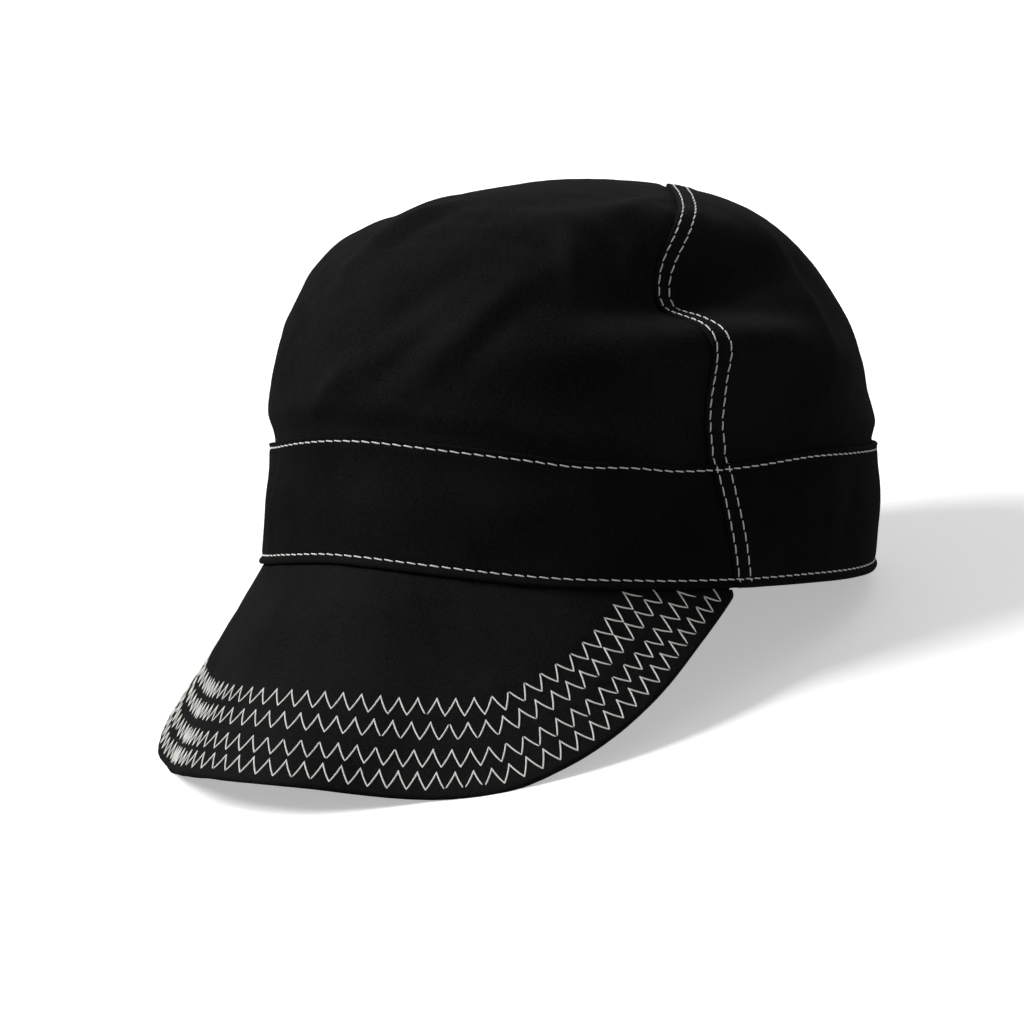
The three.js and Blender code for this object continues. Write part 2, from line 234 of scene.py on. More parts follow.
# Dents and folds: where the middle lies, by degrees from the front and height, which way the fold
# runs from level, its half length and half width, and how far it stands out (in, below 0).
# All three sizes are shares of the crown's rise.
Fold = namedtuple("Fold", "name angle height turn length width out")
CROWN_FOLDS = [
    Fold("side hollow", 75, 0.4, 8, 0.46, 0.15, -0.17),
    Fold("roll below it", 76, 0.22, -4, 0.62, 0.11, 0.1),
    Fold("hollow on the band", 62, 0.07, -12, 0.46, 0.12, -0.05),
    Fold("shoulder ridge", 51, 0.58, 6, 0.45, 0.1, 0.03),
    Fold("hollow edge", 45, 0.42, 88, 0.17, 0.05, 0.02),
    Fold("hollow front", 54, 0.42, 80, 0.15, 0.07, -0.03),
    Fold("front side swell", -44, 0.4, 0, 0.35, 0.12, 0.014),
    Fold("shoulder crest", 56, 0.65, 30, 0.22, 0.045, 0.014),
    Fold("rear side fall", 140, 0.3, 0, 0.5, 0.34, -0.045),
    Fold("front side fall", -46, 0.16, 0, 0.7, 0.24, -0.008),
    Fold("front side dip", -40, 0.6, 0, 0.4, 0.14, -0.028),
    Fold("rear side ridge", 103, 0.38, 80, 0.3, 0.07, 0.025),
    Fold("rear side hollow", 93, 0.1, 0, 0.2, 0.12, -0.035),
    Fold("front fold low", 5, 0.09, 38, 0.28, 0.055, 0.022),
    Fold("front fold middle", 28, 0.19, 45, 0.28, 0.055, 0.024),
    Fold("front fold high", -3, 0.42, 75, 0.26, 0.055, 0.022),
    Fold("front dip", 16, 0.22, 48, 0.3, 0.06, -0.02),
    Fold("far hollow", -84, 0.38, 6, 0.4, 0.16, -0.08),
    Fold("far roll", -80, 0.2, -6, 0.5, 0.11, 0.035),
    Fold("far rear fall", -142, 0.42, 0, 0.5, 0.35, -0.05),
    Fold("top front fall", -14, 0.74, 0, 0.35, 0.2, -0.024),
    Fold("rear shoulder fall", 132, 0.58, 0, 0.3, 0.25, -0.025),
    Fold("rear low fall", 130, 0.11, 0, 0.3, 0.08, -0.02),
    Fold("back fold", 172, 0.22, 60, 0.35, 0.09, 0.025),
    Fold("rear hollow's edge", 91, 0.31, -6, 0.17, 0.055, -0.022),
    Fold("rear crease", 104, 0.42, 76, 0.2, 0.028, 0.008),
    Fold("rear low crease", 103, 0.1, 52, 0.13, 0.024, 0.007),
    Fold("rear lowest crease", 111, 0.05, 52, 0.1, 0.022, 0.007),
    Fold("front low crease", 0, 0.07, 50, 0.14, 0.03, 0.011),
    Fold("front low valley", 13, 0.09, 42, 0.2, 0.04, -0.01),
    Fold("front valley", 35, 0.2, 46, 0.22, 0.04, -0.012),
    Fold("front high crease", -1, 0.5, 68, 0.16, 0.03, 0.01),
    Fold("front high valley", 6, 0.46, 70, 0.2, 0.045, -0.01),
]

# Slack in the band, in the same columns: heights run from -1 at its lower edge to 0 at its top
BAND_FOLDS = [
    Fold("front crease", -24, -0.62, 78, 0.2, 0.022, 0.012),
    Fold("front crease dip", -27, -0.5, 80, 0.24, 0.035, -0.012),
    Fold("upper hollow", 8, -0.25, 0, 0.6, 0.1, -0.012),
    Fold("lower swell", 2, -0.62, 0, 0.8, 0.1, 0.01),
    Fold("far front slack", -44, -0.45, 0, 0.5, 0.14, -0.014),
    Fold("side slack", 60, -0.5, 0, 0.4, 0.14, -0.008),
    Fold("rear slack", 112, -0.45, 70, 0.3, 0.08, -0.012),
    Fold("rear crease", 104, -0.4, 82, 0.25, 0.03, 0.006),
    Fold("back slack", 165, -0.5, 65, 0.3, 0.09, -0.012),
    Fold("far slack", -70, -0.5, 75, 0.3, 0.09, -0.01),
    Fold("far rear slack", -125, -0.45, 80, 0.3, 0.08, -0.012),
]


def ease(share):
    t = np.clip(share, 0, 1)
    return t * t * (3 - 2 * t)


def read_table(rows, column, at):
    """A column of a table at any place of its first column, on a smooth curve through the rows"""
    keys = np.array([row[0] for row in rows], float)
    values = np.array([getattr(row, column) for row in rows], float)
    before = np.maximum(np.arange(len(rows)) - 1, 0)
    after = np.minimum(np.arange(len(rows)) + 1, len(rows) - 1)
    slope = (values[after] - values[before]) / (keys[after] - keys[before])
    place = np.clip(at, keys[0], keys[-1])
    i = np.clip(np.searchsorted(keys, place, side="left") - 1, 0, len(rows) - 2)
    span = keys[i + 1] - keys[i]
    t = (place - keys[i]) / span
    flow = (1 - t) * slope[i] * span * t * (1 - t) - t * slope[i + 1] * span * t * (1 - t)
    return values[i] * (1 + 2 * t) * (1 - t) ** 2 + values[i + 1] * t * t * (3 - 2 * t) + flow


def unit(vectors):
    length = np.linalg.norm(vectors, axis=-1, keepdims=True)
    return vectors / np.maximum(length, NO_LENGTH)


def forehead(angle):
    return sizes().band_rise * ((1 + np.cos(angle)) / 2) ** 3


def rim_rise(angle, share):
    """How much the band climbs at an angle, with its sway, at a share of its height"""
    top, bottom = (read_table(BAND_SWAY, edge, np.degrees(angle)) for edge in ("top", "bottom"))
    return forehead(angle) + sizes().band_height * (top * share + bottom * (1 - share))


def seam_angle(height):
    return np.radians(read_table(SEAM_ROUTE, "angle", height))


def far_seam_angle(height):
    top = seam_angle(0.0)
    calm = np.where(np.asarray(height) > 0, HIDDEN_SEAM_CALM, 1)
    return -(top + (seam_angle(height) - top) * calm)


def spread_at(height):
    """How far the crown's walls stand from where its panels meet, by height, as a share"""
    return np.maximum(np.cos(np.maximum(height, 0) * math.pi / 2), 0) ** (2 / CROWN_FULLNESS)


def band_skin(angle, share, depth=0.0):
    """The band's outside by angle from the front and share of its height, and any depth below it"""
    s = sizes()
    narrowing = (BAND_BELLY + BAND_NIP) * ease(2 * share - 1)
    swell = 1 + BAND_BELLY - narrowing - BAND_BELLY * ease(1 - 2 * share)
    x = (s.half_width * swell - depth) * np.sin(angle)
    y = -(s.half_length * swell - depth) * np.cos(angle) - s.band_draw * (1 - share) ** 2
    z = s.band_height * share + rim_rise(angle, share)
    return np.stack(np.broadcast_arrays(x, y, z), -1)


def smooth_crown(angle, height):
    """The crown's outside without its folds, and its outward direction"""
    s = sizes()
    hidden = s.band_wall + s.sewn_gap
    clear = ease(height / CROWN_START)
    inset = hidden + (s.crown_set_back - hidden) * clear
    half_width = s.half_width * (1 - BAND_NIP * (1 - clear)) - inset
    half_length = s.half_length * (1 - BAND_NIP * (1 - clear)) - inset
    middle = CROWN_MIDDLE * s.half_length
    spread = spread_at(height)
    x = half_width * np.sin(angle) * spread
    y = middle + (-half_length * np.cos(angle) - middle) * spread
    ring = np.hypot(x / half_width, y / half_length)
    lift = np.maximum(1 - ring**CROWN_FULLNESS, 0) ** (1 / CROWN_FULLNESS)
    z = s.band_height + rim_rise(angle, 1) * spread**3 + s.crown_rise * lift
    lean = ring ** (CROWN_FULLNESS - 2)
    outward = np.stack(
        np.broadcast_arrays(
            lean * x / half_width**2, lean * y / half_length**2, lift ** (CROWN_FULLNESS - 1) / s.crown_rise
        ),
        -1,
    )
    return np.stack(np.broadcast_arrays(x, y, z), -1), unit(outward)


def fold_depth(place, folds):
    """How far all the folds together push the cloth out at each place"""
    s = sizes()
    out = np.zeros(place.shape[:-1])
    for fold in folds:
        angle = np.array(math.radians(fold.angle))
        if fold.height < 0:
            centre = band_skin(angle, 1 + fold.height)
            outward = unit(np.array([math.sin(angle), -math.cos(angle), 0]))
        else:
            centre, outward = smooth_crown(angle, np.array(fold.height))
        level = unit(np.cross((0, 0, 1), outward))
        upward = np.cross(outward, level)
        turn = math.radians(fold.turn)
        along = level * math.cos(turn) + upward * math.sin(turn)
        across = upward * math.cos(turn) - level * math.sin(turn)
        away = (place - centre) / s.crown_rise
        reach = (away @ along / fold.length) ** 2 + (away @ across / fold.width) ** 2
        out += fold.out * s.crown_rise * np.exp(-reach - (away @ outward / FOLD_REACH) ** 2)
    return out


# Slight unevenness of soft cloth: gentle waves, each by direction, and length and height in millimetres
Wave = namedtuple("Wave", "x y z length height")
CLOTH_WAVES = [
    Wave(0.8, 0.3, 0.52, 31, 0.16),
    Wave(-0.35, 0.7, 0.62, 23, 0.12),
    Wave(0.55, -0.62, 0.56, 17, 0.08),
    Wave(0.12, 0.45, -0.88, 41, 0.16),
    Wave(-0.7, -0.5, 0.5, 12, 0.05),
]
WAVE_WANDER = 9  # how far a wave runs ahead and behind, in radians, so that none looks regular
WANDER_LENGTH = 5.3  # in lengths of the wave
STIFF_SHARE = 0.5  # how much of the waves the doubled band and the stiffened peak take


def cloth_waves(place):
    """How far the waves push the cloth out at each place"""
    out = np.zeros(place.shape[:-1])
    for wave in CLOTH_WAVES:
        turn = place @ unit(np.array(wave[:3])) * (2 * math.pi / (wave.length * MM))
        out += wave.height * MM * np.sin(turn + WAVE_WANDER * np.sin(turn / WANDER_LENGTH))
    return out


# A seam's lapped cloth and its stitched grooves, across the seam
LAP_FLAT = 3.6 * MM  # the lapped cloth stays proud this far behind the seam's line
LAP_FADE = 3.0 * MM
SINK_START = 6.6 * MM  # the cloth under the lap starts to dip this far in front of the line
SINK_FADE = 2.3 * MM
SEAM_END = 20 * MM  # a seam does nothing to cloth beyond this
GROOVE = 0.2 * MM  # how deep a stitched row draws the cloth in
GROOVE_HALF_WIDTH = 0.9 * MM
MEETING_FADE = 14 * MM  # laps narrow this near to where the panels meet


def lap_taper(height):
    """Seams narrow towards the place where the panels meet"""
    return ease(spread_at(height) * sizes().half_width / MEETING_FADE)


def seam_reach(angle, height):
    """Distance along the cloth for each radian round the cap"""
    s = sizes()
    return spread_at(height) * np.hypot(s.half_width * np.cos(angle), s.half_length * np.sin(angle))


def lap_profile(across, over):
    """How far cloth stands out near a seam, by its distance over the seam's line"""
    row = sewing().row_spacing / 2
    groove = sum(np.exp(-(((across - side * row) / GROOVE_HALF_WIDTH) ** 2)) for side in (-1, 1))
    above = sewing().lap_lift * (1 - ease((np.abs(across) - LAP_FLAT) / LAP_FADE)) - GROOVE * groove
    dipped = ease((across + SINK_START) / SINK_FADE) * (across < SEAM_END)
    below = -sewing().lap_sink * dipped
    return np.where(over, above, below)


def seam_distances(angle, height):
    """Distances from the left, right and back seams, above 0 on the panel that laps over"""
    left, right = seam_angle(height), far_seam_angle(height)
    behind = np.where(angle > 0, math.pi - angle, -(math.pi + angle))
    return (
        (angle - left) * seam_reach(left, height),
        (right - angle) * seam_reach(right, height),
        behind * seam_reach(math.pi, height),
    )


def seam_relief(angle, height, laps=None):
    """The seams' relief on a panel, with laps naming the seams that it laps over, or on the top layer"""
    taper = np.maximum(lap_taper(height), SMALL)
    total = np.zeros(np.broadcast(angle, height).shape)
    for k, across in enumerate(seam_distances(angle, height)):
        widened = across / taper
        over = widened > -sewing().lap if laps is None else laps[k]
        total = total + lap_profile(widened, over) * taper
    return total


HEM_ROLL = 0.75 * MM  # how far the turned hem swells below the lower line
HEM_MIDDLE = 1.1 * MM  # above the band's lower edge
HEM_HALF_WIDTH = 0.95 * MM
TOP_ROLL = 0.12 * MM  # how far the folded top edge swells
TOP_HALF_WIDTH = 1.0 * MM
LINE_GROOVE = 0.3 * MM  # how deep the two stitched lines draw the band in
LINE_HALF_WIDTH = 0.75 * MM


def band_relief(share):
    """The hem and the grooves of the band's two stitched lines"""
    s, sew = sizes(), sewing()
    above = share * s.band_height
    below_top = s.band_height - above
    roll = HEM_ROLL * np.exp(-(((above - HEM_MIDDLE) / HEM_HALF_WIDTH) ** 2))
    lip = TOP_ROLL * np.exp(-((below_top / TOP_HALF_WIDTH) ** 2))
    lower = np.exp(-(((above - sew.lower_line) / LINE_HALF_WIDTH) ** 2))
    upper = np.exp(-(((below_top - sew.upper_line) / LINE_HALF_WIDTH) ** 2))
    return roll + lip - LINE_GROOVE * (lower + upper)


def cloth_place(angle, height, laps=None):
    """The outside of band and crown with every fold and seam: below height 0 it is the band"""
    angle, height = np.broadcast_arrays(np.asarray(angle, float), np.asarray(height, float))
    on_band = height < 0
    band = band_skin(angle, 1 + height)
    crown, outward = smooth_crown(angle, np.maximum(height, 0))
    level = unit(np.stack([np.sin(angle), -np.cos(angle), np.zeros_like(angle)], -1))
    place = np.where(on_band[..., None], band, crown)
    outward = np.where(on_band[..., None], level, outward)
    started = ease(height / CROWN_START)
    crown_out = (fold_depth(place, CROWN_FOLDS) + cloth_waves(place)) * started
    slack = fold_depth(place, BAND_FOLDS) + cloth_waves(place) * STIFF_SHARE
    held = ease((1 + height) * SLACK_PARTS) * ease(-height * SLACK_PARTS)
    band_out = slack * held + band_relief(1 + height)
    out = np.where(on_band, band_out, crown_out) + seam_relief(angle, height, laps)
    return place + outward * out[..., None]


def crown_margin(angle, height, laps):
    """The crown's outside, with the margin that is tucked behind the band below height 0"""
    s = sizes()
    tucked = band_skin(angle, 1 + height, s.band_wall + s.sewn_gap)
    return np.where((height < 0)[..., None], tucked, cloth_place(angle, np.maximum(height, 0), laps))


def rest_turn():
    """How the drawn cap leans and tips back to lie on the table"""
    return Matrix.Rotation(-sizes().tip, 3, "X") @ Matrix.Rotation(sizes().lean, 3, "Y")


def rest_move():
    s = sizes()
    return Vector((s.rest_aside, s.rest_back, s.rest_up))


def lay_down(points):
    """From the drawn cap to the cap as it lies on the table"""
    turn, move = rest_turn(), rest_move()
    return points @ np.array(turn).T + np.array(move)


def surface_normals(surface, u, v, step=2e-3):
    """Outward directions of a surface that two numbers run over, leftwards and upwards"""
    across = surface(u + step, v) - surface(u - step, v)
    up = surface(u, v + step) - surface(u, v - step)
    return unit(np.cross(across, up))


def clear_selection():
    if bpy.context.object and bpy.context.object.mode != "OBJECT":
        bpy.ops.object.mode_set(mode="OBJECT")
    bpy.ops.object.select_all(action="DESELECT")


def select_only(piece):
    clear_selection()
    piece.select_set(True)
    bpy.context.view_layer.objects.active = piece


def cloth_grid(name, points):
    """A flat grid of cloth laid over a grid of points, with a UV map in metres along its threads"""
    columns, rows = points.shape[:2]
    clear_selection()
    bpy.ops.mesh.primitive_grid_add(x_subdivisions=columns - 1, y_subdivisions=rows - 1, size=2)
    piece = bpy.context.object
    piece.name = piece.data.name = name
    mesh = piece.data
    flat = np.empty(len(mesh.vertices) * 3)
    mesh.vertices.foreach_get("co", flat)
    flat = flat.reshape(-1, 3)
    i = np.rint((flat[:, 0] + 1) / 2 * (columns - 1)).astype(int)
    j = np.rint((flat[:, 1] + 1) / 2 * (rows - 1)).astype(int)
    mesh.vertices.foreach_set("co", points[i, j].ravel())
    weft = np.zeros((columns, rows))
    warp = np.zeros((columns, rows))
    weft[1:] = np.cumsum(np.linalg.norm(np.diff(points, axis=0), axis=-1), axis=0)
    warp[:, 1:] = np.cumsum(np.linalg.norm(np.diff(points, axis=1), axis=-1), axis=1)
    weft -= weft[columns // 2]
    corner = np.empty(len(mesh.loops), int)
    mesh.loops.foreach_get("vertex_index", corner)
    threads = np.stack([weft[i, j][corner], warp[i, j][corner]], -1)
    mesh.uv_layers[0].name = "threads"
    mesh.uv_layers["threads"].data.foreach_set("uv", threads.ravel())
    mesh.update()
    return piece


def flatten_on_table(piece):
    """Cloth that would reach through the table is pressed flat on it"""
    mesh = piece.data
    places = np.empty(len(mesh.vertices) * 3)
    mesh.vertices.foreach_get("co", places)
    places[2::3] = np.maximum(places[2::3], 0)
    mesh.vertices.foreach_set("co", places)
    mesh.update()


def apply_modifier(piece, kind, **settings):
    modifier = piece.modifiers.new(kind.title(), kind)
    for key, value in settings.items():
        setattr(modifier, key, value)
    bpy.context.view_layer.objects.active = piece
    bpy.ops.object.modifier_apply(modifier=modifier.name)


SMOOTH_ANGLE = math.radians(60)  # sharper edges than this stay sharp


def finish_piece(piece, material, slot, *nodes):
    """Pressed flat where it meets the table, smooth, with its material and what it stands for"""
    flatten_on_table(piece)
    select_only(piece)
    bpy.ops.object.shade_smooth_by_angle(angle=SMOOTH_ANGLE)
    piece.data.materials.append(material)
    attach(piece, "root")
    if nodes:
        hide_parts(*nodes)
    return piece


def sew_panel(name, points, wall, material, slot, node):
    """A cloth panel with its wall inside, its edges rounded"""
    piece = cloth_grid(name, lay_down(points))
    apply_modifier(piece, "SOLIDIFY", thickness=wall, offset=-1)
    apply_modifier(piece, "SUBSURF", levels=1, render_levels=1)
    return finish_piece(piece, material, slot, node)


# How finely the cloth is divided
EDGE_STEPS = np.array([0, 0.7, 1.4, 2.1, 2.8, 3.5, 4.3, 5.2, 6.2, 7.4, 8.8, 10.4, 12.2]) * MM
HEM_STEPS = np.arange(0, 4.3, 0.53) * MM  # up from the band's lower edge, over its hem and line
TOP_STEPS = np.arange(0, 3.8, 0.53) * MM  # down from its top edge, past its upper line
BAND_MIDDLE_ROWS = 16
CROWN_ROWS = 80
MARGIN_ROWS = 3  # of the crown's margin behind the band
FRONT_COLUMNS = 100
REAR_COLUMNS = 56
HEIGHT_STEPS = 2000  # of the crown's section, where its length is measured

UNDER_LAP = 1.5 * MM  # how far cloth reaches under a lap
LEAST_TAPER = 0.02  # how narrow a panel's close columns may get towards its tip
MEETING_HEIGHT = 0.9999  # the panels' tips stop just short of one point
BAND_TOP = -1e-6  # the band's top row stays below height 0, where the crown starts


def even_heights(count):
    """Crown heights at equal steps up its wall"""
    height = np.linspace(0, 1, HEIGHT_STEPS)
    across = spread_at(height) * sizes().half_length
    up = np.sin(height * math.pi / 2) ** (2 / CROWN_FULLNESS) * sizes().crown_rise
    run = np.concatenate([[0], np.cumsum(np.hypot(np.diff(across), np.diff(up)))])
    return np.interp(np.linspace(0, run[-1], count + 1), run, height)


def crown_heights():
    """The crown's rows, from its tucked margin to where the panels meet"""
    s = sizes()
    margin = np.linspace(-s.crown_tuck / s.band_height, 0, MARGIN_ROWS + 1)[:-1]
    return np.concatenate([margin, even_heights(CROWN_ROWS)[:-1], [MEETING_HEIGHT]])


def band_heights():
    """The band's rows, close at the hem and at the stitched lines"""
    s = sizes()
    top = s.band_height - TOP_STEPS[::-1]
    middle = np.linspace(HEM_STEPS[-1], top[0], BAND_MIDDLE_ROWS)[1:-1]
    heights = np.concatenate([HEM_STEPS, middle, top]) / s.band_height - 1
    heights[-1] = BAND_TOP
    return heights


def back_seam(height):
    return np.full_like(np.asarray(height, float), math.pi)


def back_from_right(height):
    return -back_seam(height)


# A panel lies between two edges, each a function of height. It reaches past each of them by a distance
# along the cloth, and laps over the left, right and back seams or not.
Panel = namedtuple("Panel", "name start end reaches laps columns")


def panels():
    """The three panels round the cap"""
    lap, under = sewing().lap, UNDER_LAP
    no_laps, left_and_back, right = (False, False, False), (True, False, True), (False, True, False)
    return [
        Panel("front", far_seam_angle, seam_angle, (under, under), no_laps, FRONT_COLUMNS),
        Panel("rear_left", seam_angle, back_seam, (lap, lap), left_and_back, REAR_COLUMNS),
        Panel("rear_right", back_from_right, far_seam_angle, (under, lap), right, REAR_COLUMNS),
    ]


def panel_angles(panel, heights):
    """Angles of a panel's columns for every height: close along both edges, and even between"""
    taper = np.maximum(lap_taper(heights), LEAST_TAPER)
    first, last = panel.start(heights), panel.end(heights)
    past_first, past_last = panel.reaches
    near_first = taper / np.maximum(seam_reach(first, heights), SMALL)
    near_last = taper / np.maximum(seam_reach(last, heights), SMALL)
    first_edge = [first + (step - past_first) * near_first for step in EDGE_STEPS]
    last_edge = [last - (step - past_last) * near_last for step in EDGE_STEPS[::-1]]
    width = last_edge[0] - first_edge[-1]
    shares = np.linspace(0, 1, panel.columns + 1)[1:-1]
    return np.array(first_edge + [first_edge[-1] + width * share for share in shares] + last_edge)


def panel_grid(panel, heights, surface):
    angles = panel_angles(panel, heights)
    return surface(angles, np.broadcast_to(heights, angles.shape), panel.laps)


class CAP_OT_crown(bpy.types.Operator):
    """Sew the three panels of the crown"""

    bl_idname = "cap.crown"
    bl_label = "Crown"

    def execute(self, context):
        heights = crown_heights()
        cloth = twill_cloth("black_cotton_twill_crown")
        for panel in panels():
            points = panel_grid(panel, heights, crown_margin)
            node = f"crown_{panel.name}"
            sew_panel(f"{node}_cloth", points, sizes().crown_wall, cloth, "crown_twill", node)
        return {"FINISHED"}


class CAP_OT_band(bpy.types.Operator):
    """Sew the band's front and rear lengths, with their turned hem"""

    bl_idname = "cap.band"
    bl_label = "Band"

    def execute(self, context):
        heights = band_heights()
        # the band's cloth is coloured darker than the crown's, as painted shade under the crown's overhang
        cloth = twill_cloth("black_cotton_twill_band", BAND_PAINTED_SHADE)
        for panel in panels():
            points = panel_grid(panel, heights, cloth_place)
            node = f"band_{panel.name}"
            sew_panel(f"{node}_cloth", points, sizes().band_wall, cloth, "band_twill", node)
        return {"FINISHED"}


def peak_slope(share, down):
    """The peak's upper face, by share of its half width and distance down its slope"""
    s = sizes()
    u = np.abs(share)
    angle = share * PEAK_END
    droop = np.radians(read_table(PEAK_FORM, "droop", u))
    heading = read_table(PEAK_FORM, "fan", u) * angle
    x = np.sin(heading) * np.cos(droop) * down
    y = -np.cos(heading) * np.cos(droop) * down
    z = -s.peak_drop - np.sin(droop) * down
    return band_skin(angle, np.zeros_like(angle)) + np.stack(np.broadcast_arrays(x, y, z), -1)


def peak_length(share):
    return read_table(PEAK_FORM, "length", np.abs(share)) * sizes().peak_reach


def peak_root(share):
    """Where the peak's slope starts, just under the band"""
    droop = np.radians(read_table(PEAK_FORM, "droop", np.abs(share)))
    return -(sizes().peak_drop - sizes().sewn_gap) / np.sin(droop)


def peak_outline(share):
    return peak_slope(share, peak_length(share))


def peak_skew(share, step=2e-3):
    """Sine of the angle between the peak's outline and its slope"""
    outline = peak_outline(share + step) - peak_outline(share - step)
    slope = peak_slope(share, np.ones_like(share)) - peak_slope(share, np.zeros_like(share))
    return np.linalg.norm(np.cross(unit(outline), unit(slope)), axis=-1)


# Middle lines of the zigzag rows, measured in from the peak's outline
ZIGZAG_ROWS = [offset * MM for offset in (5.3, 12.2, 20.6, 28.0)]
QUILT = 0.28 * MM  # how deep a zigzag row draws the peak's cloth in
QUILT_HALF_WIDTH = 2.4 * MM
PEAK_WAVES = 1.7  # the stiffened peak's waves are this much shorter than the crown's

# How finely the peak is divided
PEAK_COLUMNS = 220
PEAK_BUNCHING = 0.96  # how much closer its columns get towards its two ends, up to 1
PEAK_ROWS = 46
UNDER_ROWS = 26
PEAK_EDGE_TURNS = np.radians([60, 36, 12, -12, -36, -60])  # round its edge, from the top


def peak_relief(from_edge):
    """The quilting of the peak, by distance from its outline"""
    rows = sum(np.exp(-(((from_edge - row) / QUILT_HALF_WIDTH) ** 2)) for row in ZIGZAG_ROWS)
    return -QUILT * rows


def peak_top(share, down):
    """The peak's upper face with its quilting"""
    share, down = np.broadcast_arrays(np.asarray(share, float), np.asarray(down, float))
    place = peak_slope(share, down)
    normal = -surface_normals(peak_slope, share, down, step=1e-4)
    from_edge = (peak_length(share) - down) * peak_skew(share)
    out = peak_relief(from_edge) + cloth_waves(place * PEAK_WAVES) * STIFF_SHARE
    return place + normal * out[..., None], normal


PEAK_MARGIN = 6 * MM  # the peak's seam margin, sewn up behind the band
PEAK_MARGIN_WALL = 1.3 * MM


def peak_margin(share):
    """The peak's margin: in under the band, up behind it, and back down"""
    s = sizes()
    angle = share * PEAK_END
    outer = s.band_wall + s.sewn_gap
    inner = outer + PEAK_MARGIN_WALL
    low, high = -s.sewn_gap / s.band_height, PEAK_MARGIN / s.band_height
    corners = [(outer, low), (outer, high), (inner, high), (inner, low)]
    return np.stack([band_skin(angle, np.full_like(angle, at), depth) for depth, at in corners], 1)


def peak_face(shares, rows):
    """The peak's upper face and its directions, in rows from the band to the edge"""
    root, end = peak_root(shares), peak_length(shares) - sizes().peak_wall / 2
    down = root[:, None] + (end - root)[:, None] * np.linspace(0, 1, rows)
    return peak_top(np.broadcast_to(shares[:, None], down.shape), down)


def peak_sections():
    """The peak's section at every column, all round: underside, rounded edge, upper face and margin"""
    wall = sizes().peak_wall
    bunched = np.linspace(-1, 1, PEAK_COLUMNS) * math.pi / 2 * PEAK_BUNCHING
    shares = np.sin(bunched) / math.sin(math.pi / 2 * PEAK_BUNCHING)
    upper = peak_face(shares, PEAK_ROWS)[0]
    lower, lower_normal = peak_face(shares, UNDER_ROWS)
    under = lower - lower_normal * wall
    tip = (upper[:, -1] + under[:, -1]) / 2
    rise = (upper[:, -1] - under[:, -1]) / 2
    out = unit(upper[:, -1] - upper[:, -2]) * wall / 2
    edge = [tip + rise * math.sin(turn) + out * math.cos(turn) for turn in PEAK_EDGE_TURNS[::-1]]
    return np.concatenate(
        [under, np.stack(edge, 1), upper[:, ::-1], peak_margin(shares), under[:, :1]], 1
    )


class CAP_OT_peak(bpy.types.Operator):
    """Make the stiffened peak, its edge turned under"""

    bl_idname = "cap.peak"
    bl_label = "Peak"

    def execute(self, context):
        piece = cloth_grid("peak_cloth", lay_down(peak_sections()))
        select_only(piece)
        bpy.ops.object.mode_set(mode="EDIT")
        bpy.ops.mesh.select_all(action="SELECT")
        bpy.ops.mesh.remove_doubles(threshold=SMALL)
        bpy.ops.mesh.fill_holes(sides=0)
        bpy.ops.mesh.normals_make_consistent(inside=False)
        bpy.ops.object.mode_set(mode="OBJECT")
        finish_piece(piece, twill_cloth("black_cotton_twill_peak"), "peak_twill", "peak")
        return {"FINISHED"}


# One stitch as sewn: a short thread whose ends go down into the cloth
STITCH_RINGS = 7
STITCH_DIVE = 0.65  # how far a stitch's ends dive into the cloth, in thread radii
STITCH_PROUD = 0.35  # how far its middle stands above the cloth, in thread radii
STITCH_SLANT = 0.3 * MM  # how far a straight stitch slants across its line
STITCH_THINNING = 0.6  # how much of its section a stitch loses at its ends, where it is pulled tight
DIVE_POWER = 4  # more keeps the dive nearer to the ends
THINNING_POWER = 6
TWIST_LENGTH = 1.6 * MM  # the thread's plies turn once round it in this length


def one_stitch():
    """The pattern of a stitch: a round thread one unit long and one in radius, with rings along it"""
    clear_selection()
    bpy.ops.mesh.primitive_cylinder_add(vertices=sewing().sides, radius=1, depth=1, end_fill_type="NGON")
    pattern = bpy.context.object
    bpy.ops.object.mode_set(mode="EDIT")
    for k in range(1, STITCH_RINGS - 1):
        bpy.ops.mesh.select_all(action="SELECT")
        height = k / (STITCH_RINGS - 1) - 0.5
        bpy.ops.mesh.bisect(plane_co=(0, 0, height), plane_no=(0, 0, 1))
    bpy.ops.object.mode_set(mode="OBJECT")
    mesh = pattern.data
    places = np.array([v.co for v in mesh.vertices])
    faces = [list(p.vertices) for p in mesh.polygons]
    bpy.data.objects.remove(pattern)
    bpy.data.meshes.remove(mesh)
    return places, faces


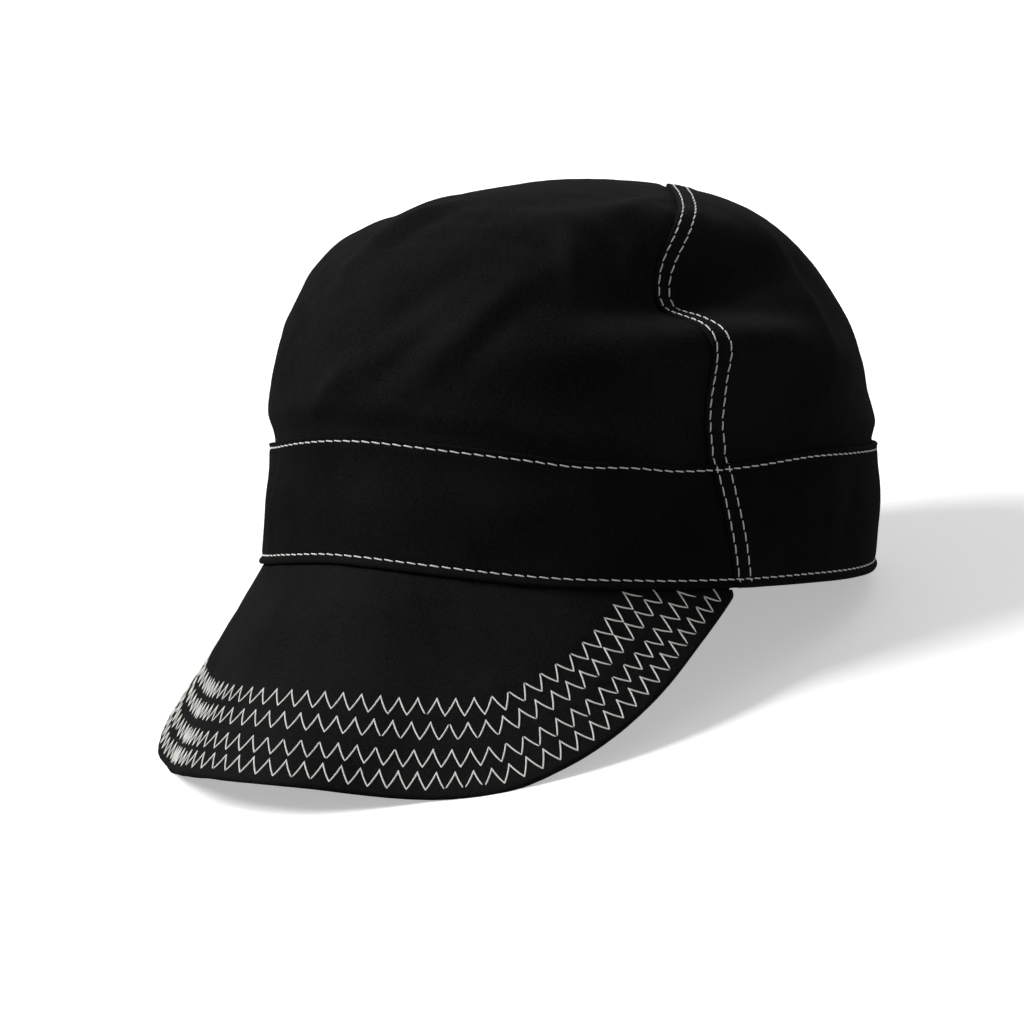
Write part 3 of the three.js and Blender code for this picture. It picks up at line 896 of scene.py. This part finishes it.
def sew(name, runs, thickness, bow=0.0, slant=STITCH_SLANT, dive=STITCH_DIVE, thinning=STITCH_THINNING):
    """Stitches along runs, each (starts, ends, normals), joined in one piece of thread"""
    places, faces = one_stitch()
    starts, ends, normals = (np.concatenate([run[k] for run in runs]) for k in range(3))
    radius = thickness / 2
    along = unit(ends - starts)
    normals = unit(normals - along * np.sum(normals * along, -1, keepdims=True))
    side = np.cross(along, normals)
    share = places[:, 2] + 0.5
    from_middle = np.abs(2 * share - 1)
    fat = np.sqrt(np.clip(1 - from_middle**THINNING_POWER * thinning, 0, 1))
    lift = (STITCH_PROUD - (STITCH_PROUD + dive) * from_middle**DIVE_POWER) * radius
    bend = bow * (1 - from_middle**2) + slant * (share - 0.5)
    flat = places[:, 0] * fat * radius
    tall = places[:, 1] * fat * radius + lift
    points = (
        starts[:, None]
        + (ends - starts)[:, None] * share[None, :, None]
        + normals[:, None] * tall[None, :, None]
        + side[:, None] * (flat + bend)[None, :, None]
    )
    # The pattern is laid out mirrored, so its faces are turned round to point outwards again
    outwards = [face[::-1] for face in faces]
    count = len(places)
    polygons = [[v + k * count for v in face] for k in range(len(starts)) for face in outwards]
    mesh = bpy.data.meshes.new(name)
    mesh.from_pydata(lay_down(points).reshape(-1, 3).tolist(), [], polygons)
    around = np.tile(np.arctan2(places[:, 1], places[:, 0]) / (2 * math.pi), len(starts))
    length = (np.linalg.norm(ends - starts, axis=-1)[:, None] * share).ravel()
    twist = mesh.attributes.new("twist", "FLOAT", "POINT")
    twist.data.foreach_set("value", (around + length / TWIST_LENGTH).astype(np.float32))
    piece = bpy.data.objects.new(name, mesh)
    bpy.context.scene.collection.objects.link(piece)
    return finish_piece(piece, sewing_thread(), "thread")


def distance_along(path):
    return np.concatenate([[0], np.cumsum(np.linalg.norm(np.diff(path, axis=0), axis=-1))])


def values_at(distance, run, values):
    """Points or directions of a path at distances along it"""
    return np.stack([np.interp(distance, run, values[:, k]) for k in range(3)], -1)


def straight_run(path, normals, closed=False):
    """Stitches of one length along a path, the length eased so that a whole number fits"""
    sew_sizes = sewing()
    run = distance_along(path)
    pitch = sew_sizes.stitch + sew_sizes.stitch_gap
    count = max(int(round(run[-1] / pitch)), 1)
    pitch = run[-1] / count
    first = np.arange(count) * pitch + (0 if closed else sew_sizes.stitch_gap / 2)
    last = first + pitch - sew_sizes.stitch_gap
    middle = (first + last) / 2
    return values_at(first, run, path), values_at(last, run, path), values_at(middle, run, normals)


def cloth_without_laps(angle, height):
    return cloth_place(angle, height, laps=(False, False, False))


def cloth_line(angle, height):
    """A line over the cap's outer layer, with the outward directions of the cloth under it"""
    return cloth_place(angle, height), surface_normals(cloth_without_laps, angle, height)


# How finely the stitched lines are followed
RIM_STEPS = 1200
BAND_ROW_STEPS = 160
CROWN_ROW_STEPS = 300
STEPS_LEFT_OUT = 4  # where the panels meet, too narrow for a stitch
ROW_START = -0.998  # a seam's rows start just above the band's lower edge, and pass to the crown
ROW_TOP = -1e-4


class CAP_OT_band_stitches(bpy.types.Operator):
    """Stitch the band's lower and upper lines"""

    bl_idname = "cap.band_stitches"
    bl_label = "Band stitches"

    def execute(self, context):
        s, sew_sizes = sizes(), sewing()
        lines = {
            "band_lower_stitches": sew_sizes.lower_line / s.band_height - 1,
            "band_upper_stitches": -sew_sizes.upper_line / s.band_height,
        }
        for name, height in lines.items():
            angle = np.linspace(-math.pi, math.pi, RIM_STEPS)
            path, normals = cloth_line(angle, np.full_like(angle, height))
            sew(name, [straight_run(path, normals, closed=True)], sew_sizes.thread)
        return {"FINISHED"}


class CAP_OT_seam_stitches(bpy.types.Operator):
    """Stitch the two rows of each seam, from the band's edge to where the panels meet"""

    bl_idname = "cap.seam_stitches"
    bl_label = "Seam stitches"

    def execute(self, context):
        on_band = np.linspace(ROW_START, ROW_TOP, BAND_ROW_STEPS)
        heights = np.concatenate([on_band, even_heights(CROWN_ROW_STEPS)[:-STEPS_LEFT_OUT]])
        row = sewing().row_spacing / 2
        seams = {
            "seam_stitches_left": (seam_angle(heights), 1),
            "seam_stitches_right": (far_seam_angle(heights), -1),
            "seam_stitches_back": (back_seam(heights), -1),
        }
        for name, (angle, sign) in seams.items():
            runs = []
            for side in (-1, 1):
                shift = side * row * lap_taper(heights) / np.maximum(seam_reach(angle, heights), SMALL)
                path, normals = cloth_line(angle + sign * shift, heights)
                runs.append(straight_run(path, normals))
            sew(name, runs, sewing().thread)
        return {"FINISHED"}


ZIGZAG_SPAN = 0.995  # how far to each side the rows are followed, as a share of the peak's half width
ZIGZAG_STEPS = 3000
ZIGZAG_TUCK = 1.2 * MM  # how far a row's end may run under the band
ZIGZAG_LAP = 0.35  # how far a leg runs past its points, in thicknesses of thread, to meet the next
ZIGZAG_DIVE = 0.0  # the legs lie almost flat
ZIGZAG_THINNING = 0.15


def zigzag_row(offset):
    """One zigzag row at a distance from the peak's outline: its points, and directions out of the cloth"""
    share = np.linspace(-ZIGZAG_SPAN, ZIGZAG_SPAN, ZIGZAG_STEPS)
    down = peak_length(share) - offset / peak_skew(share)
    kept = down > -ZIGZAG_TUCK
    path, normals = peak_top(share[kept], down[kept])
    run = distance_along(path)
    legs = int(round(run[-1] / (sewing().zigzag_pitch / 2)))
    at = np.linspace(0, run[-1], legs + 1)
    middle = values_at(at, run, path)
    normal = unit(values_at(at, run, normals))
    outwards = np.cross(unit(np.gradient(middle, axis=0)), normal)
    swing = np.where(np.arange(legs + 1) % 2 == 0, 1, -1)[:, None] * sewing().zigzag_width / 2
    return middle + outwards * swing, normal


class CAP_OT_zigzags(bpy.types.Operator):
    """Stitch the peak's zigzag rows, on its upper face and its underside"""

    bl_idname = "cap.zigzags"
    bl_label = "Zigzags"

    def execute(self, context):
        thread = sewing().zigzag_thread
        top, under = [], []
        for offset in ZIGZAG_ROWS:
            points, normal = zigzag_row(offset)
            between = unit(normal[:-1] + normal[1:])
            lap = unit(points[1:] - points[:-1]) * thread * ZIGZAG_LAP
            top.append((points[:-1] - lap, points[1:] + lap, between))
            below = points - normal * sizes().peak_wall
            under.append((below[:-1] - lap, below[1:] + lap, -between))
        for name, legs in (("peak_zigzags", top), ("peak_zigzags_under", under)):
            sew(
                name,
                legs,
                thread,
                bow=sewing().zigzag_bow,
                slant=0.0,
                dive=ZIGZAG_DIVE,
                thinning=ZIGZAG_THINNING,
            )
        return {"FINISHED"}


def add_node(tree, kind, settings=None, links=None):
    """Adds a node, sets its properties and inputs, and links its inputs from other nodes' outputs"""
    node = tree.nodes.new(kind)
    for key, value in (settings or {}).items():
        if isinstance(key, int) or key in node.inputs:
            node.inputs[key].default_value = value
        else:
            setattr(node, key, value)
    for key, source in (links or {}).items():
        tree.links.new(source, node.inputs[key])
    return node


def new_material(name):
    material = bpy.data.materials.new(name)
    material.use_nodes = True
    material.node_tree.nodes.clear()
    return material, material.node_tree


def shaded(colour, share):
    """A colour made darker or lighter, for a shader"""
    return (*[c * share for c in colour], 1)


# The patterns' real sizes, in a coarse twill. Single fibres are too fine to show, so the fuzz is drawn
# as coarse as a yarn.
WALE_SPACING = 0.62 * MM  # the twill's diagonal ribs
WALE_ANGLE = math.radians(33)
YARN_SPACING = 0.5 * MM
FIBRE_SIZE = 0.5 * MM
FADE_SIZE = 35 * MM  # patches of fainter dye
WAVE_SCALE = 20.0  # a wave texture repeats this many times in 2 pi units of its scale
YARN_SHARE = 0.35  # of the cloth's relief, where the ribs have 1
FUZZ_SHARE = 1.5
SPECKLE_SHARE = 2.0  # of the cloth's colour, where the faded patches have 1
DARKEST = 0.4  # the dye's darkest and lightest places, against its colour
LIGHTEST = 1.45
BAND_PAINTED_SHADE = 0.72  # painted shade: the band is coloured darker than the crown, standing in for the shade under the crown's overhang
WHITE = (*linear("#ffffff"), 1)


def twill_cloth(name, depth=1.0):
    """Black cotton twill, piece-dyed: matt, with fine diagonal ribs, a little fuzz, and faintly uneven in
    its dyeing.
    Depth is painted shade: how light this panel's cloth is coloured against the crown's, to stand in for
    the shade that falls on it."""
    material, tree = new_material(name)
    threads = add_node(tree, "ShaderNodeUVMap", {"uv_map": "threads"})
    place = add_node(tree, "ShaderNodeTexCoord")
    diagonal = add_node(
        tree,
        "ShaderNodeMapping",
        {"Rotation": (0, 0, WALE_ANGLE)},
        {"Vector": threads.outputs["UV"]},
    )
    wales = add_node(
        tree,
        "ShaderNodeTexWave",
        {
            "wave_type": "BANDS",
            "bands_direction": "X",
            "Scale": 2 * math.pi / WALE_SPACING / WAVE_SCALE,
            "Distortion": 2.4,
            "Detail": 2.0,
            "Detail Scale": 1.4,
        },
        {"Vector": diagonal.outputs["Vector"]},
    )
    yarns = add_node(
        tree,
        "ShaderNodeTexWave",
        {
            "wave_type": "BANDS",
            "bands_direction": "Y",
            "Scale": 2 * math.pi / YARN_SPACING / WAVE_SCALE,
            "Distortion": 0.8,
            "Detail": 1.0,
        },
        {"Vector": threads.outputs["UV"]},
    )
    fuzz = add_node(
        tree,
        "ShaderNodeTexNoise",
        {"Scale": 1 / FIBRE_SIZE, "Detail": 3, "Roughness": 0.6},
        {"Vector": place.outputs["Object"]},
    )
    fade = add_node(
        tree,
        "ShaderNodeTexNoise",
        {"Scale": 1 / FADE_SIZE, "Detail": 3, "Roughness": 0.55},
        {"Vector": place.outputs["Object"]},
    )
    weave = add_node(
        tree,
        "ShaderNodeMath",
        {"operation": "MULTIPLY_ADD", 1: YARN_SHARE},
        {0: yarns.outputs["Fac"], 2: wales.outputs["Fac"]},
    )
    relief = add_node(
        tree,
        "ShaderNodeMath",
        {"operation": "MULTIPLY_ADD", 1: FUZZ_SHARE},
        {0: fuzz.outputs["Fac"], 2: weave.outputs["Value"]},
    )
    speckle = add_node(
        tree,
        "ShaderNodeMath",
        {"operation": "MULTIPLY_ADD", 1: SPECKLE_SHARE},
        {0: fuzz.outputs["Fac"], 2: fade.outputs["Fac"]},
    )
    tone = add_node(
        tree, "ShaderNodeMapRange", {"From Min": 1.1, "From Max": 1.85}, {"Value": speckle.outputs["Value"]}
    )
    dye_and_painted_shade = add_node(tree, "ShaderNodeValToRGB", links={"Fac": tone.outputs["Result"]})
    # the random dye tone, with depth below 1 darkening the colour as painted shade on the band
    dye_and_painted_shade.color_ramp.elements[0].color = shaded(colours().cloth, DARKEST * depth)
    dye_and_painted_shade.color_ramp.elements[1].color = shaded(colours().cloth, LIGHTEST * depth)
    bump = add_node(
        tree,
        "ShaderNodeBump",
        {"Strength": 0.5, "Distance": 0.1 * MM},
        {"Height": relief.outputs["Value"]},
    )
    shader = add_node(
        tree,
        "ShaderNodeBsdfPrincipled",
        {
            "Roughness": 0.86,
            "IOR": 1.45,
            "Specular IOR Level": 0.045,
            "Sheen Weight": 0.006,
            "Sheen Roughness": 0.4,
        },
        {"Base Color": dye_and_painted_shade.outputs["Color"], "Normal": bump.outputs["Normal"]},
    )
    add_node(tree, "ShaderNodeOutputMaterial", links={"Surface": shader.outputs["BSDF"]})
    return material


PLIES = 2  # twisted together in the thread
PLY_VALLEY_PAINTED_SHADE = 0.8  # painted shade: how dark the thread is coloured between its plies


def sewing_thread():
    """Polyester sewing thread, twisted: satiny, off-white, painted darker between its plies as painted
    shade
    """
    name = "polyester_sewing_thread"
    if name in bpy.data.materials:
        return bpy.data.materials[name]
    material, tree = new_material(name)
    twist = add_node(tree, "ShaderNodeAttribute", {"attribute_name": "twist"})
    turned = add_node(
        tree,
        "ShaderNodeMath",
        {"operation": "MULTIPLY", 1: 2 * math.pi * PLIES},
        {0: twist.outputs["Fac"]},
    )
    ply = add_node(tree, "ShaderNodeMath", {"operation": "COSINE"}, {0: turned.outputs["Value"]})
    half = add_node(
        tree, "ShaderNodeMath", {"operation": "MULTIPLY_ADD", 1: 0.5, 2: 0.5}, {0: ply.outputs["Value"]}
    )
    shade = add_node(tree, "ShaderNodeValToRGB", links={"Fac": half.outputs["Value"]})
    # the thread's colour darkens in the grooves between its plies: painted shade
    shade.color_ramp.elements[0].color = shaded(colours().thread, PLY_VALLEY_PAINTED_SHADE)
    shade.color_ramp.elements[1].color = shaded(colours().thread, 1)
    bump = add_node(
        tree,
        "ShaderNodeBump",
        {"Strength": 0.5, "Distance": 0.1 * MM},
        {"Height": half.outputs["Value"]},
    )
    shader = add_node(
        tree,
        "ShaderNodeBsdfPrincipled",
        {"Roughness": 0.55, "IOR": 1.5, "Specular IOR Level": 0.4},
        {"Base Color": shade.outputs["Color"], "Normal": bump.outputs["Normal"]},
    )
    add_node(tree, "ShaderNodeOutputMaterial", links={"Surface": shader.outputs["BSDF"]})
    return material


def table_acrylic():
    """Matt white acrylic of a table that is lit from below as well: even white, with a faint shadow"""
    material, tree = new_material("matt_white_acrylic")
    shader = add_node(
        tree,
        "ShaderNodeBsdfPrincipled",
        {
            "Base Color": shaded(colours().table, 1),
            "Roughness": 0.95,
            "Specular IOR Level": 0.1,
            "Emission Color": WHITE,
            "Emission Strength": 0.42,
        },
    )
    add_node(tree, "ShaderNodeOutputMaterial", links={"Surface": shader.outputs["BSDF"]})
    return material


def lit_backdrop():
    """A white paper backdrop, lit evenly by lamps of its own: plain white"""
    material, tree = new_material("white_backdrop_paper")
    glow = add_node(tree, "ShaderNodeEmission", {"Color": WHITE, "Strength": 1.0})
    add_node(tree, "ShaderNodeOutputMaterial", links={"Surface": glow.outputs["Emission"]})
    return material


# Where the photographer stood, to the drawn cap: on the wearer's left of its front, just above level
VIEW_AZIMUTH = math.radians(44)
VIEW_ELEVATION = math.radians(4.89)
VIEW_DISTANCE = 1.694
VIEW_LENS = 193.0
VIEW_TARGET = Vector((0, 0, 0.0378))
AIM_ASIDE = -0.0199  # from the target to the picture's middle, to the right and up
AIM_UP = -0.0199
STUDIO_SIZE = 60
STUDIO_SIDES = 96

# Wide soft lights, by azimuth from the front and height, in degrees, strength, and width in degrees
Lamp = namedtuple("Lamp", "name azimuth height strength width")
LAMPS = [
    Lamp("key", -44, 46, 3.0, 26),
    Lamp("fill", 80, 0, 0.45, 60),
    Lamp("back", -150, 35, 0.6, 60),
]
ROOM_LIGHT = 0.2


def direction(azimuth, height):
    """The direction from the cap at an azimuth from its front and a height"""
    level = math.cos(height)
    return Vector((math.sin(azimuth) * level, -math.cos(azimuth) * level, math.sin(height)))


def as_laid(vector, is_place=True):
    """A point or direction of the drawn cap, as the cap lies on the table"""
    turned = rest_turn() @ Vector(vector)
    return turned + rest_move() if is_place else turned


def set_up_sheets():
    """The table's top and the backdrop all round it"""
    radius = STUDIO_SIZE / 2
    clear_selection()
    bpy.ops.mesh.primitive_circle_add(vertices=STUDIO_SIDES, radius=radius, fill_type="NGON")
    floor = bpy.context.object
    floor.name = "studio_floor"
    floor.data.materials.append(table_acrylic())
    bpy.ops.mesh.primitive_cylinder_add(
        vertices=STUDIO_SIDES, radius=radius, depth=STUDIO_SIZE, end_fill_type="NOTHING"
    )
    backdrop = bpy.context.object
    backdrop.name = "studio_backdrop"
    backdrop.data.materials.append(lit_backdrop())
    backdrop.visible_shadow = False
    # As in a dark studio, with flags round the black cloth: neither throws light back on it
    for sheet in (floor, backdrop):
        sheet.visible_diffuse = False
        sheet.visible_glossy = False


def place_camera(scene):
    """The camera keeps the photo's angle to the cap, and so is tipped with it"""
    back = direction(VIEW_AZIMUTH, VIEW_ELEVATION)
    right = Vector((math.cos(VIEW_AZIMUTH), math.sin(VIEW_AZIMUTH), 0))
    up = back.cross(right)
    eye = as_laid(VIEW_TARGET + back * VIEW_DISTANCE)
    aim = as_laid(VIEW_TARGET + right * AIM_ASIDE + up * AIM_UP)
    towards = (eye - aim).normalized()
    across = as_laid(up, is_place=False).cross(towards).normalized()
    turn = Matrix((across, towards.cross(across), towards)).transposed()
    lens = bpy.data.cameras.new("camera")
    lens.lens = VIEW_LENS
    camera = bpy.data.objects.new("camera", lens)
    scene.collection.objects.link(camera)
    camera.matrix_world = Matrix.Translation(eye) @ turn.to_4x4()
    scene.camera = camera


def light_room(scene):
    """An even, dim room and its lamps"""
    world = bpy.data.worlds.new("studio")
    scene.world = world
    world.use_nodes = True
    background = world.node_tree.nodes["Background"]
    background.inputs["Color"].default_value = WHITE
    background.inputs["Strength"].default_value = ROOM_LIGHT
    for lamp in LAMPS:
        sun = bpy.data.lights.new(lamp.name, "SUN")
        sun.energy = lamp.strength
        sun.angle = math.radians(lamp.width)
        light = bpy.data.objects.new(lamp.name, sun)
        scene.collection.objects.link(light)
        away = direction(math.radians(lamp.azimuth), math.radians(lamp.height))
        light.rotation_mode = "QUATERNION"
        light.rotation_quaternion = away.to_track_quat("Z", "Y")


class CAP_OT_studio(bpy.types.Operator):
    """Set up the table, the backdrop, the camera and the lights"""

    bl_idname = "cap.studio"
    bl_label = "Studio"

    def execute(self, context):
        scene = context.scene
        scene.view_settings.view_transform = "Standard"
        set_up_sheets()
        place_camera(scene)
        light_room(scene)
        return {"FINISHED"}


OPERATORS = [
    CAP_OT_crown,
    CAP_OT_band,
    CAP_OT_peak,
    CAP_OT_band_stitches,
    CAP_OT_seam_stitches,
    CAP_OT_zigzags,
    CAP_OT_studio,
]


class CAP_PT_sidebar(bpy.types.Panel):
    """The cap's pieces and sizes"""

    bl_idname = "CAP_PT_sidebar"
    bl_label = "Welding cap"
    bl_space_type = "VIEW_3D"
    bl_region_type = "UI"
    bl_category = "Cap"

    def draw(self, context):
        layout = self.layout
        for group in (context.scene.cap_sizes, context.scene.cap_sewing, context.scene.cap_colours):
            box = layout.box()
            for key in group.bl_rna.properties.keys():
                if key not in {"rna_type", "name"}:
                    box.prop(group, key)
        for operator in OPERATORS:
            layout.operator(operator.bl_idname)


CLASSES = [CapSizes, CapSewing, CapColours, *OPERATORS, CAP_PT_sidebar]


def register():
    for kind in CLASSES:
        bpy.utils.register_class(kind)
    bpy.types.Scene.cap_sizes = PointerProperty(type=CapSizes)
    bpy.types.Scene.cap_sewing = PointerProperty(type=CapSewing)
    bpy.types.Scene.cap_colours = PointerProperty(type=CapColours)


def unregister():
    del bpy.types.Scene.cap_colours
    del bpy.types.Scene.cap_sewing
    del bpy.types.Scene.cap_sizes
    for kind in reversed(CLASSES):
        bpy.utils.unregister_class(kind)


def main():
    register()
    for operator in OPERATORS:
        group, name = operator.bl_idname.split(".")
        getattr(getattr(bpy.ops, group), name)()


if __name__ == "__main__":
    main()
